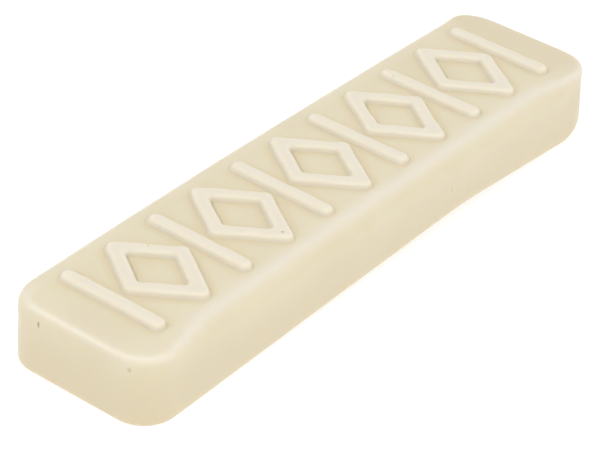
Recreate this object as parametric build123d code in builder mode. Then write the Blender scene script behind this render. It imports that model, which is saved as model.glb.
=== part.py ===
from build123d import *
import os
from math import radians, tan

# A cast bar of filler wax: one solid, with a raised pattern of cross bars and lozenges on top.
# It lies along X and rests on two narrow feet, one at each end of its hollowed underside.
# The origin is the middle of the plane that it rests on, and sizes are in millimetres.

# Bar
length = 125.0
width = 31.0
end_height = 13.0  # from the rest plane to the top face, at both ends
crown = 0.8  # how much higher the top face is at mid length
corner_radius = 6.2  # of the four upright corners
side_edge_radius = 2.9  # of the long top edges
end_edge_radius = 0.6  # of the short top edges

# Underside: two straight slopes that rise from the feet and meet in a rounded ridge
foot_length = 5.0
slope_meeting_x = 22.0
slope_meeting_height = 2.5
ridge_radius = 180.0

# Raised pattern. Its widths are those half way up the strokes.
stroke_width = 2.6
stroke_height = 1.0
stroke_draft = 15.0  # degrees, on the sides of every stroke
stroke_edge_radius = 0.5  # where a stroke's sides meet its top
band_width = 21.2  # across the bar, to the outsides of the strokes
band_middle_y = 0.3
cross_bar_count = 6
cross_bar_spacing = 21.2
lozenge_length = 15.4  # along the bar, to the outsides of the strokes
root_depth = 0.3  # how far below end_height the pattern's solid starts, inside the bar
root_growth = tan(radians(stroke_draft)) * (root_depth + crown / 2 + stroke_height / 2)
root_width = stroke_width + 2 * root_growth  # of a stroke where its solid starts


def crowned_outline(height, underside):
    """Draw a side outline: the underside's points, two upright ends and the crowned top."""
    half = length / 2
    Polyline((-half, height), *underside, (half, height))
    ThreePointArc((half, height), (0, height + crown), (-half, height))


# The pattern, as high as the crowned surface that lies one stroke height above the top face
with BuildSketch(mode=Mode.PRIVATE) as lozenge_middle:
    half_length = (lozenge_length - stroke_width) / 2
    half_width = (band_width - stroke_width) / 2
    with BuildLine():
        Polyline((-half_length, 0), (0, half_width), (half_length, 0), (0, -half_width), close=True)
    make_face()

with BuildSketch(mode=Mode.PRIVATE) as lozenge:
    offset(lozenge_middle.sketch, amount=root_width / 2)
    offset(lozenge_middle.sketch, -root_width / 2, kind=Kind.INTERSECTION, mode=Mode.SUBTRACT)

with BuildPart() as pattern:
    with BuildSketch(Plane.XY.offset(end_height - root_depth)):
        with Locations((0, band_middle_y)):
            with GridLocations(cross_bar_spacing, 1, cross_bar_count, 1):
                SlotOverall(band_width + 2 * root_growth, root_width, rotation=90)
            with GridLocations(cross_bar_spacing, 1, cross_bar_count - 1, 1):
                add(lozenge.sketch)
    extrude(amount=2 * root_depth + crown + stroke_height, taper=stroke_draft)
    with BuildSketch(Plane.XZ):
        with BuildLine():
            root = end_height - root_depth
            crowned_outline(end_height + stroke_height, [(-length / 2, root), (length / 2, root)])
        make_face()
    extrude(amount=width, both=True, mode=Mode.INTERSECT)
    fillet(pattern.faces().filter_by(GeomType.CYLINDER).edges(), stroke_edge_radius)

with BuildPart() as wax_bar:
    # Side view, with the hollow underside, then the soft long edges
    with BuildSketch(Plane.XZ) as side_view:
        with BuildLine():
            foot_end = length / 2 - foot_length
            slope_meeting = (slope_meeting_x, slope_meeting_height)
            underside = [(-length / 2, 0), (-foot_end, 0), slope_meeting, (foot_end, 0), (length / 2, 0)]
            crowned_outline(end_height, underside)
        make_face()
        fillet(side_view.vertices().sort_by_distance(slope_meeting)[0], ridge_radius)
    extrude(amount=width / 2, both=True)
    fillet(wax_bar.edges().filter_by(GeomType.CIRCLE).group_by(Axis.Z)[-1], side_edge_radius)

    # Plan view, with the round upright corners
    with BuildSketch():
        RectangleRounded(length, width, corner_radius)
    extrude(amount=2 * end_height, mode=Mode.INTERSECT)

    # The short top edges, cut to a small radius by the same side view without its underside
    with BuildSketch(Plane.XZ) as end_edges:
        with BuildLine():
            crowned_outline(end_height, [(-length / 2, 0), (length / 2, 0)])
        make_face()
        fillet(end_edges.vertices().group_by(Axis.Y)[-1], end_edge_radius)
    extrude(amount=width, both=True, mode=Mode.INTERSECT)

    add(pattern.part)

wax_bar.part.label = "wax_bar"

os.makedirs("parts", exist_ok=True)
export_step(wax_bar.part, "parts/wax_bar.step")
print("volume in cubic millimetres:", round(wax_bar.part.volume))
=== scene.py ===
import math

import bmesh
import bpy
from mathutils import Matrix, Vector, noise
from mathutils.bvhtree import BVHTree
from mathutils.geometry import delaunay_2d_cdt


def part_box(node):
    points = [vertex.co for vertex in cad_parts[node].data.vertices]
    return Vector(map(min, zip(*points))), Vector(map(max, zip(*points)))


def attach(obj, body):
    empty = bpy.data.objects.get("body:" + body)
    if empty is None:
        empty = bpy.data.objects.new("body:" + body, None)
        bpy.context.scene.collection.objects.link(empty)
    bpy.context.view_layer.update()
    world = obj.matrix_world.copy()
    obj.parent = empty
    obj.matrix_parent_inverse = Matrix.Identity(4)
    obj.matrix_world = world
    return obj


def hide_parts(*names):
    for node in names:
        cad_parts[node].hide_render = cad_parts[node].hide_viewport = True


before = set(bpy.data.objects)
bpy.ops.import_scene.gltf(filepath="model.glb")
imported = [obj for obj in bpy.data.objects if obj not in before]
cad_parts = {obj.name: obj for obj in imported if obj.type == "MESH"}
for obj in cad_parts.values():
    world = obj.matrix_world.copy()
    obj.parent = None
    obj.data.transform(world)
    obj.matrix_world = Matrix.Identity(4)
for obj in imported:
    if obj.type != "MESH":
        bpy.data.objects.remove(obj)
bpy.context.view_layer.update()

# ---------------------------------------------------------------- sizes, in millimetres
# The bar's own sizes come from the frame. What the frame doesn't say is named here.
MM = 0.001
bar_low, bar_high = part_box("wax_bar")
LENGTH, WIDTH, HEIGHT = (bar_high - bar_low) / MM

STROKE_HEIGHT = 1.0  # of the raised pattern, above the top face
CROWN = 0.8  # rise of the top face from its ends to mid length
END_HEIGHT = HEIGHT - CROWN - STROKE_HEIGHT
CORNER_RADIUS = 6.2  # of the upright corners
SIDE_EDGE_RADIUS = 3.0  # of the long top edges
END_EDGE_RADIUS = 0.6  # of the short top edges
CORNER_EDGE_RADIUS = 1.2  # of the top edge where it goes round an upright corner
BOTTOM_EDGE_RADIUS = 0.3
RIM = 3.6  # width of the strip between the outline and the patterned middle of the top
WAVE = 0.05  # unevenness of the cast faces
WAVE_SCALE = 17.0  # distance over which it changes
TOP_SEED, SIDE_SEED, SHORT_WAVE_SEED = 3.7, 6.4, 5.1  # places in the noise

FOOT_LENGTH = 5.0
RIDGE_X = 22.0  # where the two slopes of the underside meet
RIDGE_HEIGHT = 2.5  # where they would meet if the ridge weren't rounded
RIDGE_SOFTNESS = 0.3
SINK = 0.45  # shrinkage of the poured underside, in the middle of the bar's width
RIPPLE = 0.07
RIPPLE_SCALE = 5.5
RIPPLE_SEED = 8.3
CURLED_CORNER = Vector((LENGTH / 2, -WIDTH / 2))  # the underside curls up here
CURL_REACH = 6.7  # along the corner's diagonal
CURL_HEIGHT = 8.2  # what it would reach if the corner were square
LEANING_POINT = CURLED_CORNER + Vector((-4.8, 0.1))  # where the side above it leans inwards most
LEAN_REACH = 6.5
LEAN = 0.65

STROKE_WIDTH = 2.6  # half way up
BAND_WIDTH = 21.2  # the pattern's size across the bar
BAND_Y = 0.3
BAR_COUNT = 6
BAR_SPACING = 21.2  # the middles of the lozenges lie at whole multiples of it
LOZENGE_LENGTH = 15.4
HALF_ACROSS = (BAND_WIDTH - STROKE_WIDTH) / 2  # half the middle line of a cross bar or lozenge
HALF_ALONG = (LOZENGE_LENGTH - STROKE_WIDTH) / 2  # half the middle line of a lozenge, along the bar
STROKE_WALL_ANGLE = math.radians(66)
STROKE_TOP_RADIUS = 0.85
STROKE_BASE_RADIUS = 0.55
RECESS_CORNER_RADIUS = 0.3  # inside a lozenge, at the foot of its strokes
STROKE_WOBBLE = 0.15  # how far a stroke's edges stray from straight
STROKE_UNEVENNESS = 0.05  # of a stroke's height
WOBBLE_X_SEED, WOBBLE_Y_SEED, UNEVENNESS_SEED, SMALL_WOBBLE_SEED = 11.3, 37.7, 23.9, 2.6

# Painted highlight near the top edges. Each pair is for the crisp short edges and the soft long ones.
PALE_LINE = (0.8, 0.85)  # strength of the palest line
PALE_LINE_DROP = (0.3, 0.03)  # how far it lies below the top face, in edge radii
INWARD_REACH = (0.6, 2.0)  # how far it spreads over the top face
OUTWARD_REACH = (0.8, 1.4)  # how far it spreads down the side
WIDE_PALENESS = (0.3, 0.15)  # strength of a fainter paleness round it
WIDE_REACH = 5.0  # how far that spreads over the top face
EDGE_HIGHLIGHT_STRENGTH = 0.55  # strength of all of it, on average over the edges
LIGHT_FROM_X, LIGHT_FROM_Y = 0.3, 0.4  # painted light: added where an edge faces -x or -y, towards the lights, taken off at +x or +y
HIGHLIGHT_MOST = 0.95

# Painted highlight and painted shadow beside the strokes. The places are distances from a stroke's middle
# line.
FAR_FROM_STROKE = 9.0  # for points with no stroke near
LIT_SIDE_SHIFT = 0.42  # how much further down the strokes' lit -x sides the painted highlight reaches
CREVICE_START, CREVICE_END = 1.25, 2.1
CREVICE_FADE_IN, CREVICE_FADE_OUT = 0.3, 0.5
CREVICE_TILT = 0.35  # x part of the surface's normal where the painted shadow in the crevice is fully dark
OUTER_CREVICE = 0.25  # its strength outside the lozenges, where inside them it is 1

STROKE_STEP = 0.45  # mesh size along a stroke
GROUND_STEP = 1.3  # mesh size on the plain parts of the top face
WALL_STEP = 1.0  # mesh size on the sides
UNDERSIDE_STEP = 1.5
ROW_SPACING = 0.866  # of a grid of even triangles, in steps

# Pinholes left by air bubbles: where, half the size across and up, the depth and how much painted shade
PINHOLES = (
    ((-LENGTH / 2, 7.6, 10.1), (0.22, 0.55), 0.35, 0.45),
    ((-LENGTH / 2, -11.3, 10.7), (0.3, 0.4), 0.12, 0.25),
    ((-21.2, -8.4, HEIGHT), (0.26, 0.22), 0.25, 0.5),
    ((-39.0, 5.2, HEIGHT), (0.16, 0.16), 0.15, 0.4),
    ((31.0, 8.0, HEIGHT), (0.18, 0.15), 0.15, 0.4),
    ((17.5, -WIDTH / 2, 7.3), (0.18, 0.22), 0.12, 0.25),
    ((-8.0, WIDTH / 2, 8.6), (0.24, 0.3), 0.2, 0.4),
    ((LENGTH / 2, 3.0, 5.4), (0.3, 0.3), 0.3, 0.5),
    ((12.0, 4.0, 0.0), (0.45, 0.4), 0.4, 0.5),
    ((-28.0, -3.5, 0.0), (0.35, 0.45), 0.35, 0.5),
)
PINHOLE_SURROUNDS = (1.9, 1.4, 1.0, 0.7)  # how far out the mesh is divided, once more each time
PINHOLE_EDGE, PINHOLE_SHADE_EDGE = 1.35, 1.6  # where a pinhole starts, in its half sizes


def smooth(t):
    """0 below 0, 1 above 1 and an S curve between."""
    t = min(max(t, 0.0), 1.0)
    return t * t * (3 - 2 * t)


def mix(a, b, t):
    return a + (b - a) * t


def drift(x, y, z, scale, seed):
    """Smooth noise of about -1 to 1 that changes over roughly scale millimetres."""
    place = Vector((x / scale + seed, y / scale - seed, z / scale + 0.5 * seed))
    return 1.6 * noise.noise(place)


def add_to_scene(name, data):
    thing = bpy.data.objects.new(name, data)
    bpy.context.scene.collection.objects.link(thing)
    return thing


# ---------------------------------------------------------------- the bar's faces as functions
def wave(x, y, z, seed):
    """Unevenness of a cast face, in millimetres: long waves with shorter ones on them."""
    long_waves = drift(x, y, z, WAVE_SCALE, seed)
    short_waves = drift(x, y, z, 0.35 * WAVE_SCALE, seed + SHORT_WAVE_SEED)
    return WAVE * (0.7 * long_waves + 0.3 * short_waves)


def top_height(x, y):
    return END_HEIGHT + CROWN * (1 - (2 * x / LENGTH) ** 2) + wave(x, y, 0, TOP_SEED)


def inset_of(x, y):
    """How far a point of the plan view lies inside the bar's outline."""
    past_x = abs(x) - (LENGTH / 2 - CORNER_RADIUS)
    past_y = abs(y) - (WIDTH / 2 - CORNER_RADIUS)
    if past_x > 0 and past_y > 0:
        return CORNER_RADIUS - math.hypot(past_x, past_y)
    return CORNER_RADIUS - max(past_x, past_y)


def nearest_on_outline(x, y):
    reach_x, reach_y = LENGTH / 2 - CORNER_RADIUS, WIDTH / 2 - CORNER_RADIUS
    past = Vector((abs(x) - reach_x, abs(y) - reach_y))
    if past.x > 0 and past.y > 0:
        past = past.normalized() * CORNER_RADIUS
    elif past.x > past.y:
        past.x = CORNER_RADIUS
    else:
        past.y = CORNER_RADIUS
    return Vector((math.copysign(reach_x + past.x, x), math.copysign(reach_y + past.y, y)))


def underside_height(x, y):
    """Two slopes that rise from the feet, with a rounded meeting, and one corner that curls up."""
    foot_end = LENGTH / 2 - FOOT_LENGTH
    left = RIDGE_HEIGHT * (x + foot_end) / (RIDGE_X + foot_end)
    right = RIDGE_HEIGHT * (foot_end - x) / (foot_end - RIDGE_X)
    lower, upper = min(left, right), max(left, right)
    blend = 1 + math.exp(-(upper - lower) / RIDGE_SOFTNESS)
    to_corner = (CURLED_CORNER.x - x + y - CURLED_CORNER.y) / math.sqrt(2)
    curl = CURL_HEIGHT * max(0.0, 1 - to_corner / CURL_REACH) ** 2
    return max(lower - RIDGE_SOFTNESS * math.log(blend), 0.0) + curl


def poured_height(x, y):
    """The underside away from its rim, where the wax shrank as it set."""
    clear_of_feet = smooth((LENGTH / 2 - FOOT_LENGTH - abs(x)) / (2 * FOOT_LENGTH))
    clear_of_rim = smooth(inset_of(x, y) / (0.3 * WIDTH))
    ripples = RIPPLE * drift(x, 1.6 * y, 0, RIPPLE_SCALE, RIPPLE_SEED) * smooth(inset_of(x, y) / RIM)
    return underside_height(x, y) + clear_of_feet * (SINK * clear_of_rim + ripples)


def outline():
    """Stations round the plan view, counter-clockwise: (point, outward normal, top edge radius)."""
    half_x, half_y = LENGTH / 2 - CORNER_RADIUS, WIDTH / 2 - CORNER_RADIUS
    stations = []
    corners = [(1, -1, -90), (1, 1, 0), (-1, 1, 90), (-1, -1, 180)]
    for number, (sign_x, sign_y, start) in enumerate(corners):
        centre = Vector((sign_x * half_x, sign_y * half_y))
        steps = max(2, round(math.radians(90) * CORNER_RADIUS / (0.7 * WALL_STEP)))
        for i in range(steps):
            angle = math.radians(start + 90 * i / steps)
            normal = Vector((math.cos(angle), math.sin(angle)))
            stations.append((centre + CORNER_RADIUS * normal, normal))
        along_end = number % 2 == 0
        straight = 2 * (half_y if along_end else half_x)
        steps = round(straight / WALL_STEP)
        normal = Vector((sign_x, 0)) if along_end else Vector((0, sign_y))
        direction = Vector((0, sign_x)) if along_end else Vector((-sign_y, 0))
        corner = centre + CORNER_RADIUS * normal
        for i in range(steps):
            stations.append((corner + direction * (straight * i / steps), normal))
    return [(point, normal, edge_radius(point)) for point, normal in stations]


def edge_radius(point):
    """The top edge is soft along the bar and nearly crisp at its ends.

    On the +y side the soft edge runs on into the corners, and furthest into the one at the -x end.
    On the -y side it tightens before them."""
    to_end = LENGTH / 2 - abs(point.x)
    to_side = WIDTH / 2 - abs(point.y)
    # Where the change starts, counted from the corner, and its length, both in corner radii
    start, span = (math.copysign(0.3, point.x), 0.75) if point.y > 0 else (0.35, 2.2)
    along_side = smooth((to_end - start * CORNER_RADIUS) / (span * CORNER_RADIUS))
    along_end = smooth((to_side - 0.35 * CORNER_RADIUS) / CORNER_RADIUS)
    return mix(mix(CORNER_EDGE_RADIUS, SIDE_EDGE_RADIUS, along_side), END_EDGE_RADIUS, along_end)


def rim_profile(radius):
    """From the patterned middle outwards and over the top edge: (inset from the outline, drop)."""
    flat_steps, round_steps = 3, 9
    flat = [(mix(RIM, radius, i / flat_steps), 0.0) for i in range(flat_steps)]
    turns = [math.radians(90) * i / round_steps for i in range(round_steps + 1)]
    return flat + [(radius * (1 - math.sin(a)), radius * (1 - math.cos(a))) for a in turns]


def wall_shift(point, z):
    """How far the side stands out of true: the casting's unevenness, less the lean at one corner."""
    lean = LEAN * smooth(1 - (point - LEANING_POINT).length / LEAN_REACH) * smooth(z / END_HEIGHT)
    return wave(point.x, point.y, z, SIDE_SEED) - lean


def wall_points(point, normal, radius):
    """The points of one station: over the top edge, down the side and round the bottom edge."""
    points = []
    for inset, drop in rim_profile(radius):
        place = point - normal * inset
        place += normal * wall_shift(point, END_HEIGHT) * (1 - inset / RIM)
        points.append(Vector((place.x, place.y, top_height(place.x, place.y) - drop)))
    top, bottom = points[-1].z, underside_height(*point) + BOTTOM_EDGE_RADIUS
    steps = round((END_HEIGHT - END_EDGE_RADIUS) / WALL_STEP)
    for i in range(1, steps + 1):
        z = mix(top, bottom, i / steps)
        place = point + normal * wall_shift(point, mix(END_HEIGHT, z, smooth(2 * i / steps)))
        points.append(Vector((place.x, place.y, z)))
    foot = points[-1].xy
    for degrees in (30, 60, 90):
        turn = math.radians(degrees)
        place = foot - normal * BOTTOM_EDGE_RADIUS * (1 - math.cos(turn))
        z = underside_height(*place) + BOTTOM_EDGE_RADIUS * (1 - math.sin(turn))
        points.append(Vector((place.x, place.y, z)))
    return points


# ---------------------------------------------------------------- the raised pattern
def stroke_profile():
    """Half of a stroke's section, from its middle outwards: (distance, height)."""
    sine, cosine = math.sin(STROKE_WALL_ANGLE), math.cos(STROKE_WALL_ANGLE)
    half, middle = STROKE_WIDTH / 2, STROKE_HEIGHT / 2
    top_centre = half - (STROKE_TOP_RADIUS + (middle - STROKE_TOP_RADIUS) * cosine) / sine
    base_centre = half + (STROKE_BASE_RADIUS + (middle - STROKE_BASE_RADIUS) * cosine) / sine
    profile = [(0.0, STROKE_HEIGHT), (0.5 * top_centre, STROKE_HEIGHT)]
    steps = 5
    for i in range(steps + 1):
        a = STROKE_WALL_ANGLE * i / steps
        distance = top_centre + STROKE_TOP_RADIUS * math.sin(a)
        profile.append((distance, STROKE_HEIGHT - STROKE_TOP_RADIUS * (1 - math.cos(a))))
    for i in range(steps + 1):
        a = STROKE_WALL_ANGLE * (1 - i / steps)
        distance = base_centre - STROKE_BASE_RADIUS * math.sin(a)
        profile.append((distance, STROKE_BASE_RADIUS * (1 - math.cos(a))))
    return profile


def arc(centre, radius, start, turn, step):
    steps = max(3, math.ceil(abs(turn) * radius / step))
    angles = [start + turn * i / steps for i in range(steps + 1)]
    return [centre + radius * Vector((math.cos(a), math.sin(a))) for a in angles]


def straights_between(points, step):
    """Fill the long gaps of a closed line with evenly spaced points."""
    line = []
    for a, b in zip(points, points[1:] + points[:1]):
        steps = max(1, round((b - a).length / step))
        line += [a.lerp(b, i / steps) for i in range(steps)]
    return line


def middles(count):
    """Where so many evenly spaced bars or lozenges have their middles, along the bar."""
    return [(n - (count - 1) / 2) * BAR_SPACING for n in range(count)]


def bar_contour(x, distance):
    """All points at one distance from the middle line of a cross bar."""
    far, near = Vector((x, BAND_Y + HALF_ACROSS)), Vector((x, BAND_Y - HALF_ACROSS))
    if distance == 0:
        steps = round(2 * HALF_ACROSS / STROKE_STEP)
        return [far.lerp(near, i / steps) for i in range(steps + 1)]
    half_turn = math.pi
    line = arc(far, distance, 0, half_turn, STROKE_STEP)
    line += arc(near, distance, half_turn, half_turn, STROKE_STEP)
    return straights_between(line, STROKE_STEP)


def lozenge_contour(x, offset, radius):
    """A lozenge's middle line moved out by offset, or in where that is negative, with round corners."""
    slant = math.hypot(HALF_ALONG, HALF_ACROSS)
    grow = 1 + (offset - radius) * slant / (HALF_ALONG * HALF_ACROSS)
    centre = Vector((x, BAND_Y))
    lean = math.atan2(HALF_ALONG, HALF_ACROSS)
    line = []
    for quarter in range(4):
        middle = quarter * math.pi / 2
        reach = (HALF_ALONG, HALF_ACROSS)[quarter % 2] * grow
        half_turn = (lean, math.pi / 2 - lean)[quarter % 2]
        tip = centre + reach * Vector((math.cos(middle), math.sin(middle)))
        if radius < 1e-6:
            line.append(tip)
        else:
            line += arc(tip, radius, middle - half_turn, 2 * half_turn, STROKE_STEP)
    return straights_between(line, STROKE_STEP)


def pattern_contours():
    """Every contour line of the raised pattern: (points, closed, height, distance).

    The distance is from the stroke's middle line."""
    profile = stroke_profile()
    reach = profile[-1][0]
    contours = []
    for x in middles(BAR_COUNT):
        for distance, height in profile:
            contours.append((bar_contour(x, distance), distance > 0, height, distance))
    for x in middles(BAR_COUNT - 1):
        for distance, height in profile:
            contours.append((lozenge_contour(x, distance, distance), True, height, distance))
            if distance > 0:
                radius = RECESS_CORNER_RADIUS + reach - distance
                contours.append((lozenge_contour(x, -distance, radius), True, height, distance))
    return contours


def stroke_distance(x, y):
    """Distance from the nearest stroke's middle line."""
    place = Vector((x, y - BAND_Y))
    nearest = math.inf
    for middle in middles(BAR_COUNT):
        beyond = max(abs(place.y) - HALF_ACROSS, 0)
        nearest = min(nearest, math.hypot(place.x - middle, beyond))
    # A lozenge is the same in its four quarters, so one side of it is enough
    corner, side = Vector((HALF_ALONG, 0)), Vector((-HALF_ALONG, HALF_ACROSS))
    for middle in middles(BAR_COUNT - 1):
        folded = Vector((abs(place.x - middle), abs(place.y)))
        along = min(max((folded - corner).dot(side) / side.length_squared, 0), 1)
        nearest = min(nearest, (folded - (corner + side * along)).length)
    return nearest


def wobble(x, y, seed):
    """Noise of about -1 to 1 for the strokes, with a small and a smaller scale."""
    return 0.7 * drift(x, y, 0, 4.2, seed) + 0.3 * drift(x, y, 0, 1.9, seed + SMALL_WOBBLE_SEED)


def encloses(border, place):
    """Whether a closed line goes round a place: a ray from there crosses it an odd number of times."""
    crossings = 0
    for a, b in zip(border, border[1:] + border[:1]):
        if (a.y > place.y) != (b.y > place.y):
            crossings += place.x < a.x + (b.x - a.x) * (place.y - a.y) / (b.y - a.y)
    return crossings % 2 == 1


def triangulate(border, lines, loose):
    """Triangulate the inside of a border, keeping the given lines as edges.

    Returns the points, the source number of each (None for a new one) and the triangles."""
    points, edges = list(border), []
    count = len(border)
    edges += [(i, (i + 1) % count) for i in range(count)]
    for line, closed in lines:
        first, count = len(points), len(line)
        points += line
        edges += [(first + i, first + (i + 1) % count) for i in range(count if closed else count - 1)]
    points += loose
    places, _edges, triangles, point_ids = delaunay_2d_cdt(points, edges, [], 0, 1e-5, True)[:4]
    source = [min(ids) if ids else None for ids in point_ids]
    kept = []
    for triangle in triangles:
        origins = [source[corner] for corner in triangle]
        on_border = all(origin is not None and origin < len(border) for origin in origins)
        middle = sum((places[corner] for corner in triangle), Vector((0, 0))) / 3
        if not on_border or encloses(border, middle):
            kept.append(tuple(triangle))
    return places, source, kept


def grid_points(step, half_x, half_y, keep):
    """A staggered grid of points where keep says so."""
    points = []
    rows = round(2 * half_y / (step * ROW_SPACING))
    for row in range(1, rows):
        y = -half_y + 2 * half_y * row / rows
        columns = round(2 * half_x / step)
        for column in range(1, columns):
            x = -half_x + 2 * half_x * (column + 0.5 * (row % 2) - 0.25) / columns
            if keep(x, y):
                points.append(Vector((x, y)))
    return points


def softness(radius):
    """0 at the crisp short top edges and 1 at the soft long ones."""
    return (radius - END_EDGE_RADIUS) / (SIDE_EDGE_RADIUS - END_EDGE_RADIUS)


def paleness_at(way, radius, normal):
    """How much painted highlight a top edge gets: way is how far it is past the palest line, outwards.

    The edges that face -x and -y, towards the lights, get more painted highlight than the others."""
    soft = softness(radius) ** 2
    lit_share = min(EDGE_HIGHLIGHT_STRENGTH - LIGHT_FROM_X * normal.x - LIGHT_FROM_Y * normal.y, HIGHLIGHT_MOST)
    reach = mix(*(INWARD_REACH if way < 0 else OUTWARD_REACH), soft)
    wide = math.exp(-((way / WIDE_REACH) ** 2)) if way < 0 else math.exp(-way)
    line = math.exp(-((way / reach) ** 2))
    return lit_share * (mix(*PALE_LINE, soft) * line + mix(*WIDE_PALENESS, soft) * wide)


def palest_drop(radius):
    """How far below the top face the palest line lies."""
    return radius * mix(*PALE_LINE_DROP, softness(radius))


def column_paleness(column, normal, radius):
    """The painted highlight of each point of a station."""
    # The point nearest to the palest line's height, and of equally near ones the outermost
    misses = [abs(drop - palest_drop(radius)) + 0.01 * inset for inset, drop in rim_profile(radius)]
    peak = misses.index(min(misses))
    travelled = [0.0]
    for a, b in zip(column, column[1:]):
        travelled.append(travelled[-1] + (b - a).length)
    return [paleness_at(way - travelled[peak], radius, normal) for way in travelled]


def ground_paleness(x, y):
    """The painted highlight of a point on the flat part of the top."""
    nearest = nearest_on_outline(x, y)
    radius = edge_radius(nearest)
    palest_inset = radius * (1 - math.sqrt(1 - (1 - palest_drop(radius) / radius) ** 2))
    outwards = (nearest - Vector((x, y))).normalized()
    return paleness_at(palest_inset - inset_of(x, y), radius, outwards)


def dig_pinholes(mesh):
    """Divide the mesh finely round each pinhole, push it in and mark its painted shade in the pinhole
    attribute.
    """
    work = bmesh.new()
    work.from_mesh(mesh)
    mark = work.verts.layers.float["pinhole"]
    for place, half_sizes, depth, shade in PINHOLES:
        centre, normal = BVHTree.FromBMesh(work).find_nearest(Vector(place) * MM)[:2]
        for surround in PINHOLE_SURROUNDS:
            close = [
                edge for edge in work.edges
                if (0.5 * (edge.verts[0].co + edge.verts[1].co) - centre).length < surround * MM
            ]
            bmesh.ops.subdivide_edges(work, edges=close, cuts=1, use_grid_fill=True)
        on_a_side = abs(normal.z) < 0.7
        upwards = Vector((0, 0, 1)) if on_a_side else Vector((0, 1, 0))
        upwards = (upwards - normal * upwards.dot(normal)).normalized()
        across = upwards.cross(normal)
        for vertex in work.verts:
            offset = (vertex.co - centre) / MM
            if offset.length > PINHOLE_SURROUNDS[0]:
                continue
            way = math.hypot(offset.dot(across) / half_sizes[0], offset.dot(upwards) / half_sizes[1])
            vertex.co -= normal * depth * MM * smooth(PINHOLE_EDGE - way)
            vertex[mark] = max(vertex[mark], shade * smooth(PINHOLE_SHADE_EDGE - way))
    many_sided = [face for face in work.faces if len(face.verts) > 4]
    bmesh.ops.triangulate(work, faces=many_sided)
    work.to_mesh(mesh)
    work.free()


def in_recess(x, y):
    """Whether a point lies inside the middle line of a lozenge."""
    middle = BAR_SPACING * round(x / BAR_SPACING)
    return abs(x - middle) / HALF_ALONG + abs(y - BAND_Y) / HALF_ACROSS < 1


def stroke_sides(mesh, near_stroke):
    """Paint the lit -x sides of the strokes paler as painted highlight, and paint shadow into the crevice
    along their +x sides.

    Returns each point's distance from a stroke, changed for the painted highlight on the -x sides, and how
    much painted shadow it has."""
    shifted, crevice = [], []
    for vertex, distance in zip(mesh.vertices, near_stroke):
        on_wall = smooth((CREVICE_END - distance) / CREVICE_FADE_OUT)
        shifted.append(distance + LIT_SIDE_SHIFT * on_wall * vertex.normal.x)
        share = 1.0 if in_recess(vertex.co.x / MM, vertex.co.y / MM) else OUTER_CREVICE
        low_on_wall = smooth((distance - CREVICE_START) / CREVICE_FADE_IN) * on_wall
        crevice.append(share * low_on_wall * smooth(vertex.normal.x / CREVICE_TILT))
    return shifted, crevice


class Shell:
    """The bar's surface while it is made: points in millimetres, two values of each, and faces."""

    def __init__(self):
        self.points, self.near_stroke, self.paleness, self.faces = [], [], [], []

    def add(self, point, near_stroke=FAR_FROM_STROKE, paleness=0.0):
        """Add a point and return its number."""
        self.points.append(point)
        self.near_stroke.append(near_stroke)
        self.paleness.append(paleness)
        return len(self.points) - 1

    def close(self, rim, lines, loose, add_point, downwards=False):
        """Fill a rim, given by the numbers of its points, with triangles.

        add_point(place, source) adds a new point and returns its number."""
        border = [self.points[number].xy for number in rim]
        places, sources, triangles = triangulate(border, lines, loose)
        numbers = []
        for place, source in zip(places, sources):
            on_rim = source is not None and source < len(rim)
            numbers.append(rim[source] if on_rim else add_point(place, source))
        for triangle in triangles:
            corners = reversed(triangle) if downwards else triangle
            self.faces.append(tuple(numbers[corner] for corner in corners))


def add_sides(shell):
    """The top edge, the sides and the bottom edge. Returns the rims of the top and the underside."""
    columns = []
    for point, normal, radius in outline():
        column = wall_points(point, normal, radius)
        paleness = column_paleness(column, normal, radius)
        columns.append([shell.add(place, paleness=pale) for place, pale in zip(column, paleness)])
    for column, following in zip(columns, columns[1:] + columns[:1]):
        for j in range(len(column) - 1):
            shell.faces.append((column[j], column[j + 1], following[j + 1], following[j]))
    return [column[0] for column in columns], [column[-1] for column in columns]


def add_top(shell, rim):
    """The middle of the top, with the raised pattern."""
    clear_of_strokes = stroke_profile()[-1][0] + 0.5 * GROUND_STEP
    contours = pattern_contours()
    ground = grid_points(
        GROUND_STEP, LENGTH / 2, WIDTH / 2,
        lambda x, y: inset_of(x, y) > RIM + 0.5 * GROUND_STEP and stroke_distance(x, y) > clear_of_strokes,
    )
    height_and_distance = [None] * len(rim)
    for line, _closed, height, distance in contours:
        height_and_distance += [(height, distance)] * len(line)

    def add_point(place, source):
        on_contour = source is not None and source < len(height_and_distance)
        height, distance = height_and_distance[source] if on_contour else (0.0, stroke_distance(*place))
        x = place.x + STROKE_WOBBLE * wobble(place.x, place.y, WOBBLE_X_SEED)
        y = place.y + STROKE_WOBBLE * wobble(place.x, place.y, WOBBLE_Y_SEED)
        height *= 1 + STROKE_UNEVENNESS * wobble(place.x, place.y, UNEVENNESS_SEED)
        point = Vector((x, y, top_height(x, y) + height))
        return shell.add(point, distance, ground_paleness(place.x, place.y))

    shell.close(rim, [contour[:2] for contour in contours], ground, add_point)


def add_underside(shell, rim):
    """The poured side, inside its rim."""
    inner = grid_points(
        UNDERSIDE_STEP, LENGTH / 2, WIDTH / 2,
        lambda x, y: inset_of(x, y) > BOTTOM_EDGE_RADIUS + 0.6 * UNDERSIDE_STEP,
    )

    def add_point(place, _source):
        return shell.add(Vector((place.x, place.y, poured_height(place.x, place.y))))

    shell.close(rim, [], inner, add_point, downwards=True)


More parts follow.
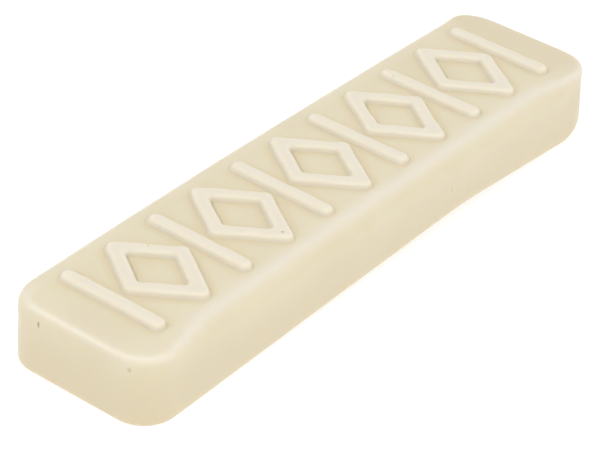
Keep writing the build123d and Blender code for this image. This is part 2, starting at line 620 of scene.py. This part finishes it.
def build_bar():
    """The whole bar as one closed mesh, in metres."""
    shell = Shell()
    top_rim, bottom_rim = add_sides(shell)
    add_top(shell, top_rim)
    add_underside(shell, bottom_rim)

    mesh = bpy.data.meshes.new("cast_wax_bar")
    mesh.from_pydata([point * MM for point in shell.points], [], shell.faces)
    near_stroke, crevice = stroke_sides(mesh, shell.near_stroke)
    values_of = {
        "near_stroke": near_stroke,
        "crevice": crevice,
        "paleness": shell.paleness,
        "pinhole": [0.0] * len(shell.points),
    }
    for name, values in values_of.items():
        mesh.attributes.new(name, "FLOAT", "POINT").data.foreach_set("value", values)
    dig_pinholes(mesh)
    mesh.polygons.foreach_set("use_smooth", [True] * len(mesh.polygons))
    mesh.update()
    mesh.validate(verbose=True)
    return add_to_scene("cast_wax_bar", mesh)


bar = build_bar()
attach(bar, "root")
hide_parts("wax_bar")


# ---------------------------------------------------------------- material
WAX = (0.747, 0.677, 0.498)
CLOUDED_WAX = (0.728, 0.652, 0.47)
TAN_SHADE_WAX = (0.73, 0.636, 0.436)  # painted shade at the feet of the strokes, in the hollows beside them
HIGHLIGHT_WAX = (0.788, 0.735, 0.62)  # painted highlight, and the glow of light through thin wax, on edges and strokes
# painted shade inside the pinholes
PINHOLE_SHADE_WAX = (0.45, 0.37, 0.25)
CREVICE_SHADOW_WAX = (0.6, 0.5, 0.33)  # painted shadow in the narrow line along the strokes' +x sides
LOW_SHADE_WAX = (0.703, 0.616, 0.436)  # painted shade near the underside and at the far end

# Where one tone turns into another, from and to
CLOUDS = (0.4, 0.7)  # values of the noise
LOW_HEIGHTS = (0.2, 0.95)  # shares of the bar's height
FAR_PLACES = (0.4, 0.48)  # shares of its length, from the middle
TAN_DISTANCES = (1.9, 3.6)  # millimetres from a stroke's middle line
PALE_DISTANCES = (0.9, 1.75)  # the same


class Nodes:
    """Small helpers that add shader nodes to one material and link them."""

    def __init__(self, material):
        material.use_nodes = True
        self.tree = material.node_tree
        self.place = self.tree.nodes.new("ShaderNodeTexCoord").outputs["Object"]

    def add(self, kind, links=(), **values):
        """A new node, with its sockets set by name and linked from other nodes' outputs."""
        node = self.tree.nodes.new(kind)
        for name, value in values.items():
            node.inputs[name.replace("_", " ")].default_value = value
        for name, output in links:
            self.tree.links.new(output, node.inputs[name])
        return node

    def attribute(self, name):
        node = self.add("ShaderNodeAttribute")
        node.attribute_name = name
        return node.outputs["Fac"]

    def noise(self, feature_size, detail=2.0, stretch=(1, 1, 1)):
        """Noise of about 0 to 1 whose features are that many millimetres across."""
        moved = self.add("ShaderNodeMapping", [("Vector", self.place)], Scale=stretch)
        links = [("Vector", moved.outputs["Vector"])]
        scale = 1 / (feature_size * MM)
        return self.add("ShaderNodeTexNoise", links, Scale=scale, Detail=detail).outputs["Fac"]

    def ramp(self, value, start, end, from_value, to_value):
        """An S curve that goes from from_value to to_value while value goes from start to end."""
        node = self.tree.nodes.new("ShaderNodeMapRange")
        node.interpolation_type = "SMOOTHSTEP"
        numbers = {"From Min": start, "From Max": end, "To Min": from_value, "To Max": to_value}
        for name, number in numbers.items():
            node.inputs[name].default_value = number
        self.tree.links.new(value, node.inputs["Value"])
        return node.outputs["Result"]

    def blend(self, share, first, second):
        node = self.tree.nodes.new("ShaderNodeMix")
        node.data_type = "RGBA"
        self.tree.links.new(share, node.inputs["Factor"])
        for socket, colour in ((node.inputs["A"], first), (node.inputs["B"], second)):
            if isinstance(colour, tuple):
                socket.default_value = (*colour, 1)
            else:
                self.tree.links.new(colour, socket)
        return node.outputs["Result"]


def wax_colour(wax):
    """Cream and clouded, with painted shade low down, at the far end and as tan beside the strokes, and
    painted highlight on the strokes.
    """
    clouded = wax.blend(wax.ramp(wax.noise(11, 3), *CLOUDS, 0, 1), WAX, CLOUDED_WAX)
    axes = wax.add("ShaderNodeSeparateXYZ", [("Vector", wax.place)]).outputs
    heights = [share * HEIGHT * MM for share in LOW_HEIGHTS]
    # painted shade low down on the sides
    low = wax.blend(wax.ramp(axes["Z"], *heights, 0.9, 0), clouded, LOW_SHADE_WAX)
    places = [share * LENGTH * MM for share in FAR_PLACES]
    # painted shade towards the far end
    far = wax.blend(wax.ramp(axes["X"], *places, 0, 0.8), low, LOW_SHADE_WAX)
    distance = wax.attribute("near_stroke")
    # painted shade beside the strokes
    tan = wax.blend(wax.ramp(distance, *TAN_DISTANCES, 0.9, 0), far, TAN_SHADE_WAX)
    # painted highlight on the raised strokes
    raised = wax.blend(wax.ramp(distance, *PALE_DISTANCES, 0.95, 0), tan, HIGHLIGHT_WAX)
    # painted highlight along the top edges, stronger on the edges that face the lights
    pale = wax.blend(wax.attribute("paleness"), raised, HIGHLIGHT_WAX)
    # painted shadow in the crevices behind the strokes
    creviced = wax.blend(wax.attribute("crevice"), pale, CREVICE_SHADOW_WAX)
    # painted shade in the pinholes
    return wax.blend(wax.attribute("pinhole"), creviced, PINHOLE_SHADE_WAX)


def wax_material():
    """Satin cream wax, a little translucent, with a fine cast skin."""
    material = bpy.data.materials.new("wax")
    wax = Nodes(material)
    shader = material.node_tree.nodes["Principled BSDF"]
    shader.inputs["Subsurface Weight"].default_value = 1.0
    shader.inputs["Subsurface Radius"].default_value = (1.0, 0.82, 0.6)
    shader.inputs["Subsurface Scale"].default_value = 1.3 * MM
    connect = material.node_tree.links.new
    connect(wax_colour(wax), shader.inputs["Base Color"])
    # Duller and glossier patches, and fine rubbed streaks along the bar
    patches = wax.ramp(wax.noise(5, 3), 0.35, 0.7, 0.31, 0.43)
    streaks = wax.ramp(wax.noise(0.9, 4, (0.12, 1, 1)), 0.35, 0.75, -0.03, 0.05)
    rough = wax.add("ShaderNodeMath", [(0, patches), (1, streaks)])
    connect(rough.outputs["Value"], shader.inputs["Roughness"])
    # Skin: shallow dimples and a finer grain
    dimples = wax.add(
        "ShaderNodeBump", [("Height", wax.noise(1.6, 2))], Strength=0.35, Distance=0.03 * MM,
    )
    grain = wax.add(
        "ShaderNodeBump",
        [("Height", wax.noise(0.35, 2)), ("Normal", dimples.outputs["Normal"])],
        Strength=0.2, Distance=0.01 * MM,
    )
    connect(grain.outputs["Normal"], shader.inputs["Normal"])
    return material


bar.data.materials.append(wax_material())


# ---------------------------------------------------------------- stage, camera and light
def pale_floor(half_size=3.0):
    """A white floor that glows a little, so that it stays white round the bar."""
    mesh = bpy.data.meshes.new("floor")
    signs = ((-1, -1), (1, -1), (1, 1), (-1, 1))
    mesh.from_pydata([(x * half_size, y * half_size, 0) for x, y in signs], [], [(0, 1, 2, 3)])
    material = bpy.data.materials.new("pale_floor")
    material.use_nodes = True
    shader = material.node_tree.nodes["Principled BSDF"]
    shader.inputs["Base Color"].default_value = (0.4, 0.4, 0.4, 1)
    shader.inputs["Roughness"].default_value = 0.9
    shader.inputs["Emission Color"].default_value = (1, 1, 1, 1)
    shader.inputs["Emission Strength"].default_value = 0.68
    mesh.materials.append(material)
    add_to_scene("floor", mesh)


def aim_camera(azimuth, elevation, roll, lens, distance, rightwards, upwards):
    """The camera looks at the origin from those angles, then moves sideways.

    Angles are in degrees, and lengths in bar lengths."""
    azimuth, elevation, roll = (math.radians(angle) for angle in (azimuth, elevation, roll))
    level_back = Vector((math.sin(azimuth), -math.cos(azimuth), 0))
    back = level_back * math.cos(elevation) + Vector((0, 0, math.sin(elevation)))
    level = Vector((math.cos(azimuth), math.sin(azimuth), 0))
    upright = back.cross(level)
    right = level * math.cos(roll) + upright * math.sin(roll)
    up = upright * math.cos(roll) - level * math.sin(roll)
    camera = add_to_scene("camera", bpy.data.cameras.new("camera"))
    camera.data.lens = lens
    camera.data.clip_start, camera.data.clip_end = 0.01, 20
    matrix = Matrix((right, up, back)).transposed().to_4x4()
    matrix.translation = (distance * back + rightwards * right + upwards * up) * LENGTH * MM
    camera.matrix_world = matrix
    bpy.context.scene.camera = camera


def soft_light(name, toward, size, energy, distance=0.8):
    """A square light that shines on the bar from that direction; lengths are in metres."""
    lamp = add_to_scene(name, bpy.data.lights.new(name, "AREA"))
    lamp.data.size = size
    lamp.data.energy = energy
    toward = Vector(toward).normalized()
    lamp.matrix_world = toward.to_track_quat("Z", "Y").to_matrix().to_4x4()
    lamp.location = toward * distance


def studio(brightness):
    """Even white light from all round."""
    world = bpy.data.worlds.new("studio")
    world.use_nodes = True
    background = world.node_tree.nodes["Background"]
    background.inputs["Color"].default_value = (1, 1, 1, 1)
    background.inputs["Strength"].default_value = brightness
    bpy.context.scene.world = world
    bpy.context.scene.view_settings.view_transform = "Standard"


pale_floor()
aim_camera(
    azimuth=-53.62, elevation=34.14, roll=3.69, lens=165.4,
    distance=3.822, rightwards=-0.02365, upwards=0.00975,
)
studio(brightness=0.855)
soft_light("front_light", (-0.36, -0.28, 0.95), size=0.45, energy=1.45)
soft_light("right_light", (0.3, -0.85, 0.45), size=0.5, energy=0.2)
soft_light("edge_light", (-0.56, 0.5, 0.66), size=0.25, energy=0.15)

print("wax bar: triangles", sum(len(face.vertices) - 2 for face in bar.data.polygons))
